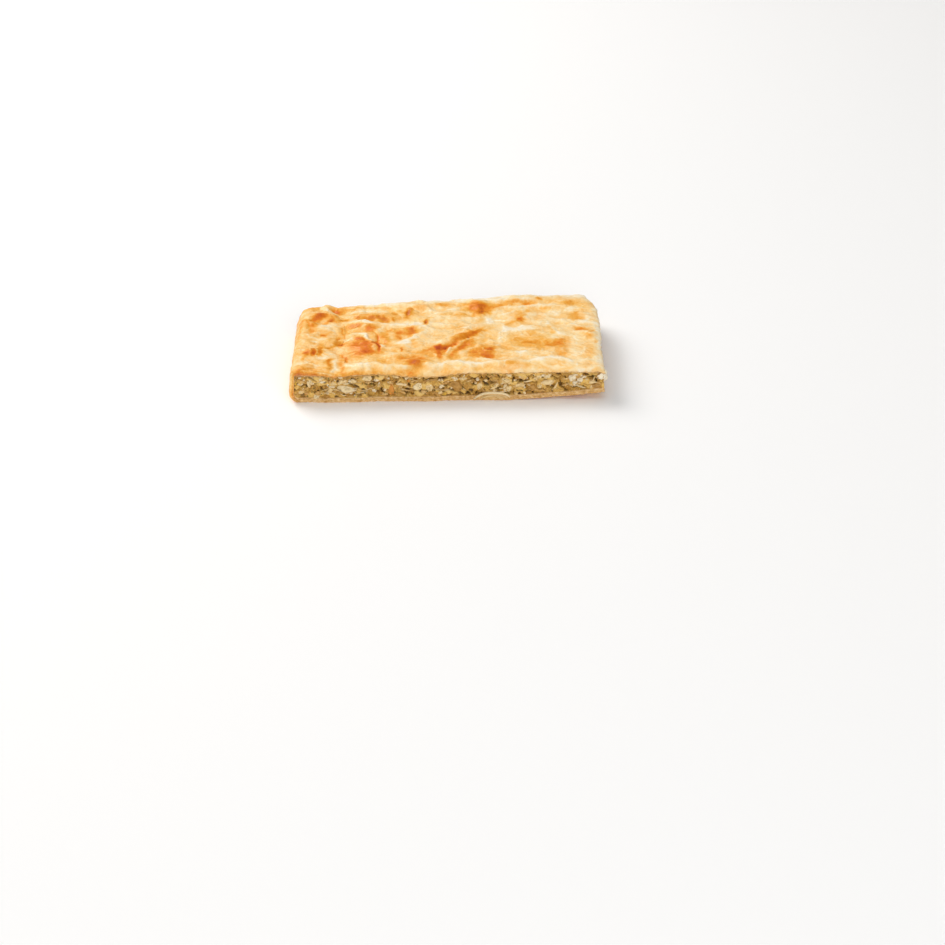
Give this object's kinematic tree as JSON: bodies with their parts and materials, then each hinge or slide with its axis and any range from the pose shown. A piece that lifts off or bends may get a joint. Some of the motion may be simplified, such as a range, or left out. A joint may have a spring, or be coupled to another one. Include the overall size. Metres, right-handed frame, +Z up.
{
  "type": "slice of artichoke pie",
  "caption": "Flat oblong slice of tray-baked artichoke pie: pastry case folded over a baked lid at one short end, chopped filling showing at the knife cuts.",
  "frame": {"origin": "centre of the slice's bounding box, on the table that it rests on", "axes": "+X along the slice from its baked rim to the short knife cut, +Y from the front long cut to the back long cut, +Z up through the baked lid"},
  "size_m": [0.1838, 0.0913, 0.0227],
  "materials": {
    "baked_case": "baked shortcrust, matt, egg-washed where it folds over the top",
    "baked_lid": "baked, egg-washed, with a soft sheen and browned blisters",
    "chopped_filling": "moist chopped artichoke and cheese"
  },
  "bodies": {
    "root": {"bottom_crust": "baked_case", "top_crust": "baked_lid", "filling": "chopped_filling"}
  },
  "joints": []
}
